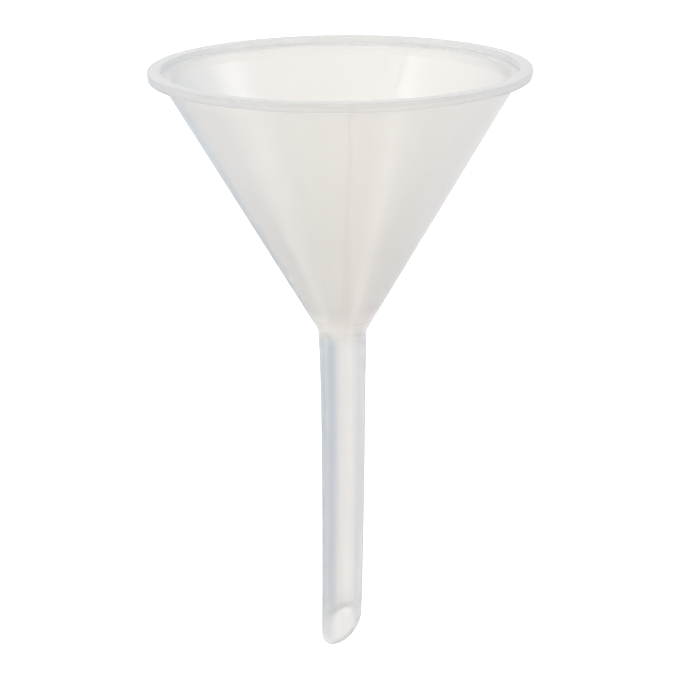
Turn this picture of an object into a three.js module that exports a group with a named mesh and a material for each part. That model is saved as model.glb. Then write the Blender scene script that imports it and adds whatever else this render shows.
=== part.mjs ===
// Laboratory funnel with a 100 mm rim: a flanged mouth, a 60 degree cone and a long stem cut at a slant.
// The real funnel is one polypropylene moulding. It is modelled as its named sections, which meet face to face.
// Units are millimetres, +Z is up, and the origin is on the funnel's axis, level with the underside of the
// flange, where a ring or a rack holds the funnel.

import * as THREE from 'three';

// Flange, the ring that stands out past the cone and a step above the ledge inside it.
const RIM_RADIUS = 50;
const FLANGE_THICKNESS = 2.4;
const FLANGE_INNER_RADIUS = 46.65;
const LEDGE_DEPTH = 1.6;
const LEDGE_INNER_RADIUS = 44.1;
const OUTER_EDGE_ROUND = 0.4;
const INNER_EDGE_ROUND = 0.15;

// Collar, which carries the ledge and has a nearly upright inner wall between the ledge and the cone.
const COLLAR_HEIGHT = 2.8;

// Cone. Its outer face starts at the flange's inner radius, level with the flange's underside.
const CONE_HALF_ANGLE = THREE.MathUtils.degToRad(30);
const CONE_TOP_RADIUS = FLANGE_INNER_RADIUS;
const WALL_THICKNESS = 1.6;
const CONE_UPPER_BOTTOM_Z = -21;
const CONE_MIDDLE_BOTTOM_Z = -42;

// Neck, where the cone runs into the stem.
const NECK_RADIUS = 6.5;
const NECK_FILLET_RADIUS = 8;
const NECK_HEIGHT_BELOW_CORNER = 4;
const BORE_TOP_RADIUS = 4.3;

// Stem. It tapers quickly over its first part, then gently down to the tip, and bows a little towards -X.
const STEM_LENGTH = 92.6;
const FLARE_LENGTH = 20;
const FLARE_END_RADIUS = 6.1;
const TIP_RADIUS = 5.6;
const BORE_TIP_RADIUS = 3.9;
const STEM_BOW = 1.22;
const STEM_STEPS = 10;

// Slanted cut at the tip. The cut face looks down and towards the azimuth given, counted from +X to +Y.
const CUT_ANGLE = THREE.MathUtils.degToRad(41);
const CUT_AZIMUTH = THREE.MathUtils.degToRad(48);
const TIP_SECTION_HEIGHT = 12.2;

const WIDE_SEGMENTS = 96;
const STEM_SEGMENTS = 48;
const ARC_STEPS = 4;

// Heights worked out from the sizes above.
const CONE_SLOPE = Math.tan(CONE_HALF_ANGLE);
const RADIAL_WALL = WALL_THICKNESS / Math.cos(CONE_HALF_ANGLE);
const LEDGE_Z = FLANGE_THICKNESS - LEDGE_DEPTH;
const COLLAR_BOTTOM_Z = LEDGE_Z - COLLAR_HEIGHT;
const NECK_CORNER_Z = -(CONE_TOP_RADIUS - NECK_RADIUS) / CONE_SLOPE;
const BORE_TOP_Z = -(CONE_TOP_RADIUS - RADIAL_WALL - BORE_TOP_RADIUS) / CONE_SLOPE;
const FILLET_TANGENT = NECK_FILLET_RADIUS * Math.tan(CONE_HALF_ANGLE / 2);
const NECK_TOP_Z = NECK_CORNER_Z + FILLET_TANGENT * Math.cos(CONE_HALF_ANGLE);
const NECK_BOTTOM_Z = NECK_CORNER_Z - NECK_HEIGHT_BELOW_CORNER;
const FLARE_END_Z = NECK_CORNER_Z - FLARE_LENGTH;
const TIP_Z = NECK_CORNER_Z - STEM_LENGTH;
const TIP_SECTION_TOP_Z = TIP_Z + TIP_SECTION_HEIGHT;

function coneOuterRadius(z) {
  return CONE_TOP_RADIUS + z * CONE_SLOPE;
}

function coneInnerRadius(z) {
  return coneOuterRadius(z) - RADIAL_WALL;
}

function stemOuterRadius(z) {
  if (z > FLARE_END_Z) {
    return THREE.MathUtils.mapLinear(z, NECK_CORNER_Z, FLARE_END_Z, NECK_RADIUS, FLARE_END_RADIUS);
  }
  return THREE.MathUtils.mapLinear(z, FLARE_END_Z, TIP_Z, FLARE_END_RADIUS, TIP_RADIUS);
}

function boreRadius(z) {
  return THREE.MathUtils.mapLinear(z, BORE_TOP_Z, TIP_Z, BORE_TOP_RADIUS, BORE_TIP_RADIUS);
}

// Sideways place of the stem's centre line. The bow grows with the square of the distance below the neck.
function stemCentreX(z) {
  const along = Math.max(0, NECK_BOTTOM_Z - z) / (NECK_BOTTOM_Z - TIP_Z);
  return -STEM_BOW * along * along;
}

// Height of the slanted cut at a place around the stem's own centre line.
function cutHeight(x, y) {
  const towardsHighSide = x * Math.cos(CUT_AZIMUTH) + y * Math.sin(CUT_AZIMUTH);
  return TIP_Z + (TIP_RADIUS + towardsHighSide) * Math.tan(CUT_ANGLE);
}

// Turns an outline of (radius, height) points, drawn anticlockwise, about the Z axis.
function turn(outline, segments) {
  const profile = [...outline, outline[0].clone()];
  const geometry = new THREE.LatheGeometry(profile, segments);
  geometry.rotateX(Math.PI / 2);
  return geometry;
}

function point(radius, height) {
  return new THREE.Vector2(radius, height);
}

// Quarter-round corner of the given radius about a centre, from one angle to another, in degrees.
function roundCorner(centreRadius, centreZ, radius, fromDegrees, toDegrees) {
  const points = [];
  for (let step = 0; step <= ARC_STEPS; step += 1) {
    const angle = THREE.MathUtils.degToRad(THREE.MathUtils.lerp(fromDegrees, toDegrees, step / ARC_STEPS));
    points.push(point(centreRadius + radius * Math.cos(angle), centreZ + radius * Math.sin(angle)));
  }
  return points;
}

function rimFlangeGeometry() {
  const topZ = FLANGE_THICKNESS;
  const outerCentre = RIM_RADIUS - OUTER_EDGE_ROUND;
  const innerCentre = FLANGE_INNER_RADIUS + INNER_EDGE_ROUND;
  return turn([
    point(FLANGE_INNER_RADIUS, 0),
    ...roundCorner(outerCentre, OUTER_EDGE_ROUND, OUTER_EDGE_ROUND, -90, 0),
    ...roundCorner(outerCentre, topZ - OUTER_EDGE_ROUND, OUTER_EDGE_ROUND, 0, 90),
    ...roundCorner(innerCentre, topZ - INNER_EDGE_ROUND, INNER_EDGE_ROUND, 90, 180),
  ], WIDE_SEGMENTS);
}

// Stands inside the flange up to the level of the ledge, which is its top face.
function rimCollarGeometry() {
  const ledgeCentre = LEDGE_INNER_RADIUS + INNER_EDGE_ROUND;
  return turn([
    point(coneInnerRadius(COLLAR_BOTTOM_Z), COLLAR_BOTTOM_Z),
    point(coneOuterRadius(COLLAR_BOTTOM_Z), COLLAR_BOTTOM_Z),
    point(FLANGE_INNER_RADIUS, 0),
    point(FLANGE_INNER_RADIUS, LEDGE_Z),
    ...roundCorner(ledgeCentre, LEDGE_Z - INNER_EDGE_ROUND, INNER_EDGE_ROUND, 90, 180),
  ], WIDE_SEGMENTS);
}

function coneSectionGeometry(bottomZ, topZ) {
  return turn([
    point(coneInnerRadius(bottomZ), bottomZ),
    point(coneOuterRadius(bottomZ), bottomZ),
    point(coneOuterRadius(topZ), topZ),
    point(coneInnerRadius(topZ), topZ),
  ], WIDE_SEGMENTS);
}

function neckGeometry() {
  const filletBottomZ = NECK_CORNER_Z - FILLET_TANGENT;
  const fillet = new THREE.QuadraticBezierCurve(
    point(stemOuterRadius(filletBottomZ), filletBottomZ),
    point(NECK_RADIUS, NECK_CORNER_Z),
    point(coneOuterRadius(NECK_TOP_Z), NECK_TOP_Z),
  );
  return turn([
    point(boreRadius(NECK_BOTTOM_Z), NECK_BOTTOM_Z),
    point(stemOuterRadius(NECK_BOTTOM_Z), NECK_BOTTOM_Z),
    ...fillet.getPoints(2 * ARC_STEPS),
    point(coneInnerRadius(NECK_TOP_Z), NECK_TOP_Z),
    point(BORE_TOP_RADIUS, BORE_TOP_Z),
  ], STEM_SEGMENTS);
}

function bowSideways(geometry) {
  const position = geometry.attributes.position;
  for (let index = 0; index < position.count; index += 1) {
    position.setX(index, position.getX(index) + stemCentreX(position.getZ(index)));
  }
  return geometry;
}

function stemGeometry() {
  const heights = [];
  for (let step = 0; step <= STEM_STEPS; step += 1) {
    heights.push(THREE.MathUtils.lerp(TIP_SECTION_TOP_Z, NECK_BOTTOM_Z, step / STEM_STEPS));
  }
  const outside = heights.map((z) => point(stemOuterRadius(z), z));
  const inside = heights.map((z) => point(boreRadius(z), z)).reverse();
  return bowSideways(turn([...outside, ...inside], STEM_SEGMENTS));
}

// Straight walls whose lower ends are moved up or down onto the slanted cut.
function stemTipGeometry() {
  const geometry = turn([
    point(BORE_TIP_RADIUS, TIP_Z),
    point(TIP_RADIUS, TIP_Z),
    point(stemOuterRadius(TIP_SECTION_TOP_Z), TIP_SECTION_TOP_Z),
    point(boreRadius(TIP_SECTION_TOP_Z), TIP_SECTION_TOP_Z),
  ], STEM_SEGMENTS);
  const position = geometry.attributes.position;
  const sectionMiddleZ = (TIP_Z + TIP_SECTION_TOP_Z) / 2;
  for (let index = 0; index < position.count; index += 1) {
    if (position.getZ(index) < sectionMiddleZ) {
      position.setZ(index, cutHeight(position.getX(index), position.getY(index)));
    }
  }
  return bowSideways(geometry);
}

// Natural polypropylene: milky, uncoloured and satin.
function naturalPolypropylene() {
  return new THREE.MeshStandardMaterial({
    color: 0xe6e5e0,
    roughness: 0.35,
    metalness: 0,
    transparent: true,
    opacity: 0.6,
  });
}

const sections = {
  rim_flange: rimFlangeGeometry,
  rim_collar: rimCollarGeometry,
  cone_upper: () => coneSectionGeometry(CONE_UPPER_BOTTOM_Z, COLLAR_BOTTOM_Z),
  cone_middle: () => coneSectionGeometry(CONE_MIDDLE_BOTTOM_Z, CONE_UPPER_BOTTOM_Z),
  cone_lower: () => coneSectionGeometry(NECK_TOP_Z, CONE_MIDDLE_BOTTOM_Z),
  neck: neckGeometry,
  stem: stemGeometry,
  stem_tip: stemTipGeometry,
};

const funnel = new THREE.Group();
for (const [name, makeGeometry] of Object.entries(sections)) {
  const section = new THREE.Mesh(makeGeometry(), naturalPolypropylene());
  section.name = name;
  funnel.add(section);
}

export default funnel;
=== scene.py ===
"""Laboratory funnel of natural polypropylene: one continuous moulding that stands for all the CAD sections."""
import math

import bmesh
import bpy
from mathutils import Matrix, Vector


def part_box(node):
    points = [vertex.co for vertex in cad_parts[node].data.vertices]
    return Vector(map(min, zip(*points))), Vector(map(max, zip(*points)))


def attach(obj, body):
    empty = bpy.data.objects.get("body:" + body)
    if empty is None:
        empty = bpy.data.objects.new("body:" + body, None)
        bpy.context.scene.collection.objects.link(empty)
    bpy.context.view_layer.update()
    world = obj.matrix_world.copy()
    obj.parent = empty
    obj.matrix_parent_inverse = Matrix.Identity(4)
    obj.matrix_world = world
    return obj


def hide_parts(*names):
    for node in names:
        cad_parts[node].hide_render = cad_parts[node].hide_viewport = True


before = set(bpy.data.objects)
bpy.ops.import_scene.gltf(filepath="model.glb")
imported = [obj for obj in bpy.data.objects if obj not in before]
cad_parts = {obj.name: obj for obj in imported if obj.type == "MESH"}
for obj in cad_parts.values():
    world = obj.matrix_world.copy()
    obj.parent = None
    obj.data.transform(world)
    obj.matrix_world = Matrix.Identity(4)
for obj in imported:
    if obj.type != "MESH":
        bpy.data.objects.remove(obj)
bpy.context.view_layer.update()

MM = 0.001

# Levels and radii that the CAD sections give, in metres.
flange_low, flange_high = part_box("rim_flange")
_, collar_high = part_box("rim_collar")
_, cone_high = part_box("cone_upper")
neck_low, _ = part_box("neck")
tip_low, tip_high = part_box("stem_tip")

RIM_RADIUS = flange_high.x
RIM_TOP_Z = flange_high.z
RIM_UNDERSIDE_Z = flange_low.z
CONE_TOP_RADIUS = collar_high.x
COLLAR_BOTTOM_Z = cone_high.z
NECK_BOTTOM_Z = neck_low.z
TIP_SECTION_TOP_Z = tip_high.z
TIP_Z = tip_low.z

# Sizes that no box gives, repeated from the CAD design.
LIP_INNER_RADIUS = 46.65 * MM
LEDGE_Z = 0.8 * MM
LEDGE_INNER_RADIUS = 44.1 * MM
CONE_HALF_ANGLE = math.radians(30)
CONE_SLOPE = math.tan(CONE_HALF_ANGLE)
RADIAL_WALL = 1.6 * MM / math.cos(CONE_HALF_ANGLE)
NECK_RADIUS = 6.5 * MM
NECK_CORNER_Z = RIM_UNDERSIDE_Z - (CONE_TOP_RADIUS - NECK_RADIUS) / CONE_SLOPE
FLARE_END_Z = NECK_CORNER_Z - 20 * MM
FLARE_END_RADIUS = 6.1 * MM
TIP_RADIUS = 5.6 * MM
BORE_TOP_RADIUS = 4.3 * MM
BORE_TIP_RADIUS = 3.9 * MM
BORE_TOP_Z = RIM_UNDERSIDE_Z - (CONE_TOP_RADIUS - RADIAL_WALL - BORE_TOP_RADIUS) / CONE_SLOPE
STEM_BOW = 1.22 * MM
CUT_SLOPE = math.tan(math.radians(41))
CUT_AZIMUTH = math.radians(48)

# Fine shapes that the CAD leaves out: the parting line round the flange, a low step in the ledge, and shallow rings
# on the cone just above the neck. All of them cut into the CAD's outline and none stands out of it.
PARTING_Z = 1.25 * MM
PARTING_STEP = 0.1 * MM
LEDGE_STEP_RADIUS = 45.4 * MM
LEDGE_STEP = 0.2 * MM
RING_LEVELS = (2.6 * MM, 4.3 * MM)
RING_HALF_WIDTH = 0.22 * MM
RING_DEPTH = 0.08 * MM

# How far the outline's corners are rounded off.
EDGE_ROUND = 0.4 * MM
FINE_ROUND = 0.2 * MM
FINEST_ROUND = 0.06 * MM
RING_ROUND = 0.08 * MM
BORE_TIP_ROUND = 0.35 * MM
CUT_ROUND = 0.45 * MM
FLARE_ROUND = 30 * MM
NECK_ROUND = 6 * MM
CONE_TOP_ROUND = 0.5 * MM
COLLAR_ROUND = 1.2 * MM
BORE_TOP_ROUND = 1.5 * MM

# How finely the moulding is cut into faces.
SEGMENTS = 256
CORNER_STEPS = 6
LONGEST_FACE = 4 * MM
TIP_FLAT_ZONE = 0.6 * MM

# Zones of the plastic, each as two heights or radii: the zone begins at the first and is full at the second.
FLANGE_ZONE_Z = (-1.0 * MM, 0.6 * MM)
FLANGE_ZONE_RADIUS = (43.5 * MM, 45 * MM)
# The flange's lower outer edge, where the milk is darkened as painted shade.
FLANGE_EDGE_PAINTED_SHADE_Z = (0.9 * MM, 0.3 * MM)
FLANGE_EDGE_PAINTED_SHADE_RADIUS = (48.6 * MM, 49.4 * MM)
# The lower cone, where the milk is darkened towards the bottom as painted shade.
CONE_LOW_PAINTED_SHADE_Z = (-15 * MM, -62 * MM)
NECK_ZONE_BELOW_Z = (NECK_CORNER_Z - 3.5 * MM, NECK_CORNER_Z + 0.5 * MM)
NECK_ZONE_ABOVE_Z = (NECK_CORNER_Z + 9 * MM, NECK_CORNER_Z + 1 * MM)
STEM_ZONE_Z = (NECK_CORNER_Z + 2.5 * MM, NECK_CORNER_Z - 2 * MM)
TIP_ZONE_Z = (TIP_Z + 15 * MM, TIP_Z + 6 * MM)
WELD_AZIMUTHS = (math.radians(-87), math.radians(66))
WELD_HALF_WIDTH = 0.5 * MM
WELD_START_RADIUS = (8 * MM, 12 * MM)

# Share of milk in the plastic, where a wall is seen square on and where it is seen along its face, and what each
# zone and the unevenness of the melt add to it.
MILK_FACING = 0.28
MILK_GRAZING = 0.91
MILK_POWER = 2.1
ZONE_MILK = {"flange": 0.15, "neck": 0.22, "stem": -0.13, "tip": 0.21, "welds": 0.06}
FLOW_MILK = 0.1
CLOUD_MILK = 0.06

# Colour of the milk, in two tints that the flow mixes, and then zone by zone, a later one over an earlier one. The
# lower cone's tint is painted shade; the stem's and tip's darker tints are partly the plastic's own and partly
# painted shade, and the neck's lighter tint is partly its own and partly painted light.
MILK_COLOR = (0.862, 0.872, 0.884, 1)
MILK_COLOR_WARM = (0.867, 0.872, 0.876, 1)
ZONE_MILK_COLORS = {
    # Painted shade: the lower cone darker towards the bottom.
    "cone_low": (0.838, 0.842, 0.846, 1),
    "flange": (0.83, 0.85, 0.868, 1),
    # Partly painted shade: the stem's milk darker.
    "stem": (0.795, 0.8, 0.803, 1),
    # Partly painted light: the neck's milk lighter.
    "neck": (0.965, 0.96, 0.95, 1),
    # Partly painted shade: the tip's milk darker.
    "tip": (0.832, 0.842, 0.845, 1),
}
# A darker colour, laid over the weld lines as their own darker plastic and over the flange's lower outer edge as
# painted shade.
WELD_AND_PAINTED_SHADE_COLOR = (0.62, 0.63, 0.65, 1)
PAINTED_EDGE_SHADE_AMOUNT = 0.4
WELD_SHADE = 0.3
THROUGH_SHARE = 0.45

# Colour of the clear plastic, in two tints that the clouds mix, and in the stem.
CLEAR_COLOR = (0.995, 0.974, 0.936, 1)
CLEAR_COLOR_THICK = (0.988, 0.965, 0.924, 1)
CLEAR_COLOR_STEM = (0.991, 0.986, 0.974, 1)

# Index of refraction, and roughness where the surface is as moulded and where it is scuffed. A share of the clear
# plastic is a coarser haze. With less of it, or with a finer one, the render's denoiser takes the thinnest milk for
# clear glass and draws hard lines round it.
IOR = 1.49
CLEAR_ROUGHNESS = (0.15, 0.21)
MILK_ROUGHNESS = (0.35, 0.48)
HAZE_ROUGHNESS = 0.3
HAZE_SHARE = 0.22

# Noise: scale per metre and detail of each pattern, and the part of its range that turns one look into another.
FLOW_NOISE = (4.0, 3)
FLOW_HEIGHT_SCALE = 5.0
CLOUD_NOISE = (45.0, 2)
GRAIN_NOISE = (1400.0, 2)
SCUFF_NOISE = (170.0, 4)
NOISE_MIDDLE = 0.5
TINT_RANGE = (0.3, 0.7)
SCUFF_RANGE = (0.35, 0.7)

# Satin grain, and the turning marks of the mould, which are strong at the neck and faint elsewhere.
GRAIN_HEIGHT = 0.012 * MM
MARK_SPACING = 1.1 * MM
MARK_HEIGHT = 0.006 * MM
MARK_SHARE_ELSEWHERE = 0.05
BUMP_STRENGTH = 0.7

# Light of the studio: even light all round, and patches as azimuth from the back towards the right, elevation,
# inner and outer half angle in degrees, and the colour added.
AMBIENT = (1.05, 1.03, 1.0)
PATCHES = [
    (5, -25, 20, 50, (0.06, 0.06, 0.06)),
    (-23, -18, 13, 19, (-0.66, -0.48, -0.27)),
    (-65, -27, 20, 55, (-0.175, -0.145, -0.1)),
    (24, -25, 8, 22, (0.25, 0.24, 0.22)),
    (80, -25, 12, 28, (0.16, 0.16, 0.15)),
    (80, -20, 30, 85, (-0.15, -0.14, -0.09)),
    (95, 40, 20, 55, (-0.22, -0.2, -0.18)),
    (110, -42, 15, 40, (-0.24, -0.22, -0.17)),
    (180, -5, 20, 80, (0.09, 0.0, -0.06)),
    (-95, 0, 15, 60, (-0.05, 0.0, 0.045)),
    (95, 0, 15, 60, (-0.03, 0.0, 0.05)),
    (104, -70, 3, 9, (1.9, 1.75, 1.5)),
    (-77, -60, 4, 14, (1.2, 1.15, 1.0)),
    (87, 25, 5, 16, (3.1, 3.1, 3.0)),
    (-119, 35, 3, 9, (6.5, 6.5, 6.4)),
]

# A square lamp overhead, which shines straight down. Its place and size are in metres, its power in watts.
LAMP_PLACE = (0, 0.6, 1.5)
LAMP_SIZE = 1.5
LAMP_POWER = 1.7

# Floor, in metres: how wide it is, and how far below the tip it lies.
FLOOR_SIZE = 12.0
FLOOR_DROP = 0.3
FLOOR_GLOW = 0.5

# Camera: a long lens, a little above the rim. It looks at a point beside the axis and below the rim's top.
CAMERA_ELEVATION = math.radians(18.2)
CAMERA_ROLL = math.radians(-0.622)
CAMERA_DISTANCE = 525 * MM
CAMERA_AIM = Vector((-1.4 * MM, 0, RIM_TOP_Z - 74.17 * MM))
LENS_MM = 103.1
SENSOR_MM = 36

# Limits on how many times light passes through the plastic, and meets anything at all, on its way.
TRANSMISSION_BOUNCES = 24
MAX_BOUNCES = 32


def cone_outer(z):
    return CONE_TOP_RADIUS + (z - RIM_UNDERSIDE_Z) * CONE_SLOPE


def cone_inner(z):
    return cone_outer(z) - RADIAL_WALL


def between(z, z_a, z_b, a, b):
    """Goes from a at z_a to b at z_b, in a straight line."""
    return a + (b - a) * (z - z_a) / (z_b - z_a)


def rounded(corners):
    """Turns a list of (radius, height, rounding) into an outline whose corners are rounded off."""
    outline = []
    for index, (r, z, rounding) in enumerate(corners):
        here = Vector((r, z))
        before = Vector(corners[index - 1][:2]) - here
        after = Vector(corners[(index + 1) % len(corners)][:2]) - here
        turn = math.pi - before.angle(after)
        reach = rounding * math.tan(turn / 2)
        start = here + before.normalized() * reach
        end = here + after.normalized() * reach
        for step in range(CORNER_STEPS + 1):
            t = step / CORNER_STEPS
            outline.append((1 - t) ** 2 * start + 2 * t * (1 - t) * here + t ** 2 * end)
    return outline


def neck_rings():
    """The neck's corner, and above it on the cone the fine rings that the mould's inserts leave."""
    rings = [(NECK_RADIUS, NECK_CORNER_Z, NECK_ROUND)]
    for rise in RING_LEVELS:
        for offset, depth in ((-RING_HALF_WIDTH, 0.0), (0.0, RING_DEPTH), (RING_HALF_WIDTH, 0.0)):
            z = NECK_CORNER_Z + rise + offset
            rings.append((cone_outer(z) - depth, z, RING_ROUND))
    return rings


def split_long(outline):
    """Adds points along the long straight stretches, so that quads stay even and the bow is smooth."""
    result = []
    for index, here in enumerate(outline):
        after = outline[(index + 1) % len(outline)]
        pieces = max(1, math.ceil((after - here).length / LONGEST_FACE))
        for piece in range(pieces):
            result.append(here.lerp(after, piece / pieces))
    return result


def funnel_outline():
    """The section's outline, anticlockwise: across the tip, up the outside, over the rim and down the inside."""
    lower_radius = RIM_RADIUS - PARTING_STEP
    ledge_low_z = LEDGE_Z - LEDGE_STEP
    return split_long(rounded([
        (BORE_TIP_RADIUS, TIP_Z, BORE_TIP_ROUND),
        (TIP_RADIUS, TIP_Z, CUT_ROUND),
        (FLARE_END_RADIUS, FLARE_END_Z, FLARE_ROUND),
        *neck_rings(),
        (CONE_TOP_RADIUS, RIM_UNDERSIDE_Z, CONE_TOP_ROUND),
        (lower_radius, RIM_UNDERSIDE_Z, EDGE_ROUND),
        (lower_radius, PARTING_Z - PARTING_STEP, FINEST_ROUND),
        (RIM_RADIUS, PARTING_Z, FINEST_ROUND),
        (RIM_RADIUS, RIM_TOP_Z, EDGE_ROUND),
        (LIP_INNER_RADIUS, RIM_TOP_Z, FINE_ROUND),
        (LIP_INNER_RADIUS, LEDGE_Z, FINE_ROUND),
        (LEDGE_STEP_RADIUS, LEDGE_Z, FINEST_ROUND),
        (LEDGE_STEP_RADIUS - LEDGE_STEP, ledge_low_z, FINEST_ROUND),
        (LEDGE_INNER_RADIUS, ledge_low_z, FINE_ROUND),
        (cone_inner(COLLAR_BOTTOM_Z), COLLAR_BOTTOM_Z, COLLAR_ROUND),
        (BORE_TOP_RADIUS, BORE_TOP_Z, BORE_TOP_ROUND),
    ]))


def stem_centre_x(z):
    """Sideways place of the stem's centre line. The bow grows with the square of the distance below the neck."""
    along = max(0.0, NECK_BOTTOM_Z - z) / (NECK_BOTTOM_Z - TIP_Z)
    return -STEM_BOW * along * along


def cut_rise(x, y):
    """How far above the tip's lowest level the slanted cut is at a place round the stem's centre line."""
    return (TIP_RADIUS + x * math.cos(CUT_AZIMUTH) + y * math.sin(CUT_AZIMUTH)) * CUT_SLOPE


def place(r, angle, z):
    """A point of the surface, with the slanted cut and the stem's bow put in."""
    x = r * math.cos(angle)
    y = r * math.sin(angle)
    share = between(z, TIP_SECTION_TOP_Z, TIP_Z + TIP_FLAT_ZONE, 0.0, 1.0)
    z += min(1.0, max(0.0, share)) * cut_rise(x, y)
    return Vector((x + stem_centre_x(z), y, z))


def make_funnel():
    """Turns the outline about the axis, with a closed ring of quads for each segment."""
    mesh = bmesh.new()
    outline = funnel_outline()
    rings = []
    for segment in range(SEGMENTS):
        angle = 2 * math.pi * segment / SEGMENTS
        rings.append([mesh.verts.new(place(r, angle, z)) for r, z in outline])
    count = len(outline)
    for segment in range(SEGMENTS):
        here, after = rings[segment], rings[(segment + 1) % SEGMENTS]
        for index in range(count):
            top = (index + 1) % count
            face = mesh.faces.new((here[index], after[index], after[top], here[top]))
            face.smooth = True
    bmesh.ops.recalc_face_normals(mesh, faces=mesh.faces)
    data = bpy.data.meshes.new("funnel_moulding")
    mesh.to_mesh(data)
    mesh.free()
    data.materials.append(polypropylene())
    return add_object("funnel_moulding", data)


def add_object(name, data):
    obj = bpy.data.objects.new(name, data)
    bpy.context.scene.collection.objects.link(obj)
    return obj


class Tree:
    """Short ways to add nodes to one node tree."""

    def __init__(self, owner):
        owner.use_nodes = True
        self.nodes = owner.node_tree.nodes
        self.links = owner.node_tree.links

    def feed(self, socket, value):
        if isinstance(value, bpy.types.NodeSocket):
            self.links.new(value, socket)
        else:
            socket.default_value = value

    def set(self, node, **values):
        for name, value in values.items():
            self.feed(node.inputs[name], value)
        return node

    def add(self, kind, **values):
        return self.set(self.nodes.new("ShaderNode" + kind), **values)

    def math(self, operation, a, b=0.0):
        node = self.add("Math")
        node.operation = operation
        self.feed(node.inputs[0], a)
        self.feed(node.inputs[1], b)
        return node.outputs[0]

    def vector_math(self, operation, a, b):
        node = self.add("VectorMath")
        node.operation = operation
        self.feed(node.inputs[0], a)
        self.feed(node.inputs["Scale" if operation == "SCALE" else 1], b)
        return node.outputs["Value" if operation == "DOT_PRODUCT" else "Vector"]

    def noise(self, vector, scale, detail):
        return self.add("TexNoise", Vector=vector, Scale=scale, Detail=detail).outputs[0]

    def ramp(self, value, low, high, at_low=0.0, at_high=1.0, kind="SMOOTHSTEP"):
        """Goes from at_low to at_high while the value goes from low to high, and stays there on either side."""
        if low > high:
            low, high, at_low, at_high = high, low, at_high, at_low
        node = self.add("MapRange")
        node.interpolation_type = kind
        self.set(node, **{"Value": value, "From Min": low, "From Max": high, "To Min": at_low, "To Max": at_high})
        return node.outputs[0]

    def mix_color(self, factor, a, b):
        node = self.add("Mix")
        node.data_type = "RGBA"
        for index, value in ((0, factor), (6, a), (7, b)):
            self.feed(node.inputs[index], value)
        return node.outputs[2]

    def mix_shader(self, factor, first, second):
        node = self.add("MixShader")
        for index, value in enumerate((factor, first, second)):
            self.feed(node.inputs[index], value)
        return node.outputs[0]


def weld_lines(tree, x, y):
    """The lines down the cone where two streams of the melt met, one at each of the azimuths."""
    total = None
    for azimuth in WELD_AZIMUTHS:
        across = tree.math("ADD", tree.math("MULTIPLY", x, -math.sin(azimuth)),
                           tree.math("MULTIPLY", y, math.cos(azimuth)))
        along = tree.math("ADD", tree.math("MULTIPLY", x, math.cos(azimuth)),
                          tree.math("MULTIPLY", y, math.sin(azimuth)))
        line = tree.math("MULTIPLY", tree.ramp(tree.math("ABSOLUTE", across), WELD_HALF_WIDTH, 0.0),
                         tree.ramp(along, *WELD_START_RADIUS))
        total = line if total is None else tree.math("ADD", total, line)
    return total


def plastic_zones(tree, x, y, z, radius):
    """How far each place of the moulding belongs to each zone, from 0 to 1."""
    stem = tree.ramp(z, *STEM_ZONE_Z)
    return {
        "flange": tree.math("MULTIPLY", tree.ramp(z, *FLANGE_ZONE_Z), tree.ramp(radius, *FLANGE_ZONE_RADIUS)),
        # The flange's lower outer edge, a mask for painted shade.
        "flange_edge_painted_shade": tree.math("MULTIPLY", tree.ramp(z, *FLANGE_EDGE_PAINTED_SHADE_Z), tree.ramp(radius, *FLANGE_EDGE_PAINTED_SHADE_RADIUS)),
        # The lower cone above the stem, a mask for painted shade.
        "cone_low": tree.math("SUBTRACT", tree.ramp(z, *CONE_LOW_PAINTED_SHADE_Z), stem),
        "neck": tree.math("MULTIPLY", tree.ramp(z, *NECK_ZONE_BELOW_Z), tree.ramp(z, *NECK_ZONE_ABOVE_Z)),
        "stem": stem,
        "tip": tree.ramp(z, *TIP_ZONE_Z),
        "welds": weld_lines(tree, x, y),
    }


def milk_share(tree, zones, flow, cloud):
    """Least where the wall is seen square on, most where it is seen along its face."""
    facing = tree.add("LayerWeight", Blend=0.5).outputs["Facing"]
    share = tree.ramp(tree.math("POWER", facing, MILK_POWER), 0.0, 1.0, MILK_FACING, MILK_GRAZING, "LINEAR")
    for zone, milk in ZONE_MILK.items():
        share = tree.math("ADD", share, tree.math("MULTIPLY", zones[zone], milk))
    for pattern, milk in ((flow, FLOW_MILK), (cloud, CLOUD_MILK)):
        uneven = tree.math("MULTIPLY", tree.math("SUBTRACT", pattern, NOISE_MIDDLE), milk)
        share = tree.math("ADD", share, uneven)
    return tree.math("MINIMUM", tree.math("MAXIMUM", share, 0.0), 1.0)


def milk_tint(tree, zones, flow):
    tint = tree.mix_color(tree.ramp(flow, *TINT_RANGE), MILK_COLOR, MILK_COLOR_WARM)
    # Zone tints, one over another: the lower cone's is painted shade, the stem's and tip's are partly painted shade,
    # and the neck's is partly painted light.
    for zone, color in ZONE_MILK_COLORS.items():
        tint = tree.mix_color(zones[zone], tint, color)
    # Darkens the weld lines, and paints shade on the flange's lower outer edge.
    for zone, shade in (("flange_edge_painted_shade", PAINTED_EDGE_SHADE_AMOUNT), ("welds", WELD_SHADE)):
        tint = tree.mix_color(tree.math("MULTIPLY", zones[zone], shade), tint, WELD_AND_PAINTED_SHADE_COLOR)
    return tint


def surface_bump(tree, place_at, z, neck):
    """A fine satin grain, and the turning marks of the mould round the neck and along the stem."""
    grain = tree.noise(place_at, *GRAIN_NOISE)
    marks = tree.math("MULTIPLY", tree.math("SINE", tree.math("MULTIPLY", z, 2 * math.pi / MARK_SPACING)),
                      tree.math("ADD", neck, MARK_SHARE_ELSEWHERE))
    height = tree.math("ADD", tree.math("MULTIPLY", grain, GRAIN_HEIGHT), tree.math("MULTIPLY", marks, MARK_HEIGHT))
    return tree.add("Bump", Height=height, Strength=BUMP_STRENGTH, Distance=1.0).outputs[0]


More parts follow.
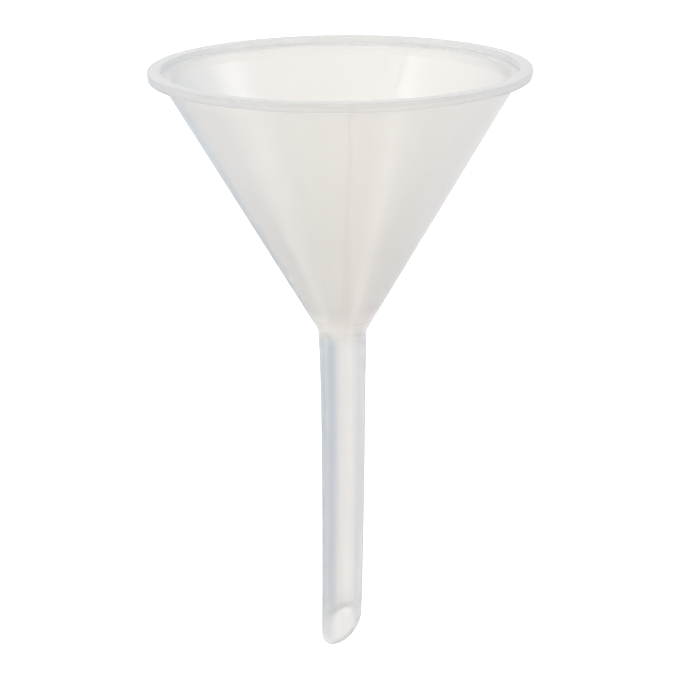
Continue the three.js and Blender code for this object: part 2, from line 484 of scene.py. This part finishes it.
def polypropylene():
    """Clear plastic with milk in it. The milk is thicker at the moulding's thick places and along its weld lines."""
    material = bpy.data.materials.new("natural_polypropylene")
    tree = Tree(material)
    place_at = tree.add("TexCoord").outputs["Object"]
    x, y, z = tree.add("SeparateXYZ", Vector=place_at).outputs
    radius = tree.math("SQRT", tree.math("ADD", tree.math("MULTIPLY", x, x), tree.math("MULTIPLY", y, y)))

    # Round the axis and along it, with no seam: the direction from the axis, and the height times a scale.
    around = tree.add("CombineXYZ", X=tree.math("DIVIDE", x, radius), Y=tree.math("DIVIDE", y, radius),
                      Z=tree.math("MULTIPLY", z, FLOW_HEIGHT_SCALE)).outputs[0]
    flow = tree.noise(around, *FLOW_NOISE)
    cloud = tree.noise(place_at, *CLOUD_NOISE)
    scuffs = tree.noise(place_at, *SCUFF_NOISE)

    zones = plastic_zones(tree, x, y, z, radius)
    share = milk_share(tree, zones, flow, cloud)
    milk_color = milk_tint(tree, zones, flow)
    clear_color = tree.mix_color(tree.ramp(cloud, *TINT_RANGE), CLEAR_COLOR, CLEAR_COLOR_THICK)
    clear_color = tree.mix_color(zones["stem"], clear_color, CLEAR_COLOR_STEM)
    clear_roughness = tree.ramp(scuffs, *SCUFF_RANGE, *CLEAR_ROUGHNESS)
    milk_roughness = tree.ramp(scuffs, *SCUFF_RANGE, *MILK_ROUGHNESS)
    bump = surface_bump(tree, place_at, z, zones["neck"])

    clear = tree.set(tree.nodes["Principled BSDF"], **{
        "Base Color": clear_color, "Roughness": clear_roughness, "IOR": IOR, "Transmission Weight": 1.0,
        "Normal": bump})
    haze = tree.add("BsdfPrincipled", **{
        "Base Color": clear_color, "Roughness": HAZE_ROUGHNESS, "IOR": IOR, "Transmission Weight": 1.0,
        "Normal": bump})
    milk = tree.add("BsdfPrincipled", **{
        "Base Color": milk_color, "Roughness": milk_roughness, "IOR": IOR, "Normal": bump})
    through = tree.add("BsdfTranslucent", Color=milk_color, Normal=bump)
    hazy = tree.mix_shader(HAZE_SHARE, clear.outputs[0], haze.outputs[0])
    milky = tree.mix_shader(THROUGH_SHARE, milk.outputs[0], through.outputs[0])
    tree.set(tree.nodes["Material Output"], Surface=tree.mix_shader(share, hazy, milky))
    return material


def make_floor():
    """A pale floor that only the camera sees. It neither lights the funnel nor shows through it."""
    bpy.ops.mesh.primitive_plane_add(size=FLOOR_SIZE, location=(0, 0, TIP_Z - FLOOR_DROP))
    floor = bpy.context.object
    floor.name = "floor"
    material = bpy.data.materials.new("floor_white")
    tree = Tree(material)
    tree.set(tree.nodes["Principled BSDF"], **{
        "Base Color": (0.9, 0.9, 0.9, 1), "Roughness": 1.0, "Emission Color": (1, 1, 1, 1),
        "Emission Strength": FLOOR_GLOW})
    floor.data.materials.append(material)
    floor.visible_diffuse = False
    floor.visible_glossy = False
    floor.visible_transmission = False
    floor.visible_shadow = False


def make_lamp():
    light = bpy.data.lights.new("overhead", "AREA")
    light.shape = "SQUARE"
    light.size = LAMP_SIZE
    light.energy = LAMP_POWER
    add_object("overhead", light).location = LAMP_PLACE


def make_world():
    """A white studio: even white where the camera looks, and soft patches of light and shade for everything else."""
    world = bpy.data.worlds.new("studio")
    bpy.context.scene.world = world
    tree = Tree(world)
    direction = tree.add("TexCoord").outputs["Generated"]
    color = tree.add("RGB").outputs[0]
    color.default_value = (*AMBIENT, 1)
    for azimuth, elevation, inner, outer, added in PATCHES:
        turn, rise = math.radians(azimuth), math.radians(elevation)
        towards = (math.sin(turn) * math.cos(rise), math.cos(turn) * math.cos(rise), math.sin(rise))
        nearness = tree.vector_math("DOT_PRODUCT", direction, towards)
        inside = tree.ramp(nearness, math.cos(math.radians(outer)), math.cos(math.radians(inner)))
        color = tree.vector_math("ADD", color, tree.vector_math("SCALE", added, inside))
    lighting = tree.set(tree.nodes["Background"], Color=color, Strength=1.0)
    seen = tree.add("Background", Color=(1, 1, 1, 1))
    from_camera = tree.add("LightPath").outputs["Is Camera Ray"]
    surface = tree.mix_shader(from_camera, lighting.outputs[0], seen.outputs[0])
    tree.set(tree.nodes["World Output"], Surface=surface)


def make_camera():
    back = Vector((0, -math.cos(CAMERA_ELEVATION), math.sin(CAMERA_ELEVATION)))
    level = Vector((1, 0, 0))
    right = math.cos(CAMERA_ROLL) * level + math.sin(CAMERA_ROLL) * back.cross(level)
    turn = Matrix((right, back.cross(right), back)).transposed().to_4x4()
    data = bpy.data.cameras.new("camera")
    data.lens = LENS_MM
    data.sensor_width = SENSOR_MM
    camera = add_object("camera", data)
    camera.matrix_world = Matrix.Translation(CAMERA_AIM + back * CAMERA_DISTANCE) @ turn
    bpy.context.scene.camera = camera


scene = bpy.context.scene
scene.view_settings.view_transform = "Standard"
scene.cycles.transmission_bounces = TRANSMISSION_BOUNCES
scene.cycles.max_bounces = MAX_BOUNCES

funnel = make_funnel()
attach(funnel, "root")
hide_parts("rim_flange", "rim_collar", "cone_upper", "cone_middle", "cone_lower",
            "neck", "stem", "stem_tip")
make_floor()
make_world()
make_camera()
make_lamp()
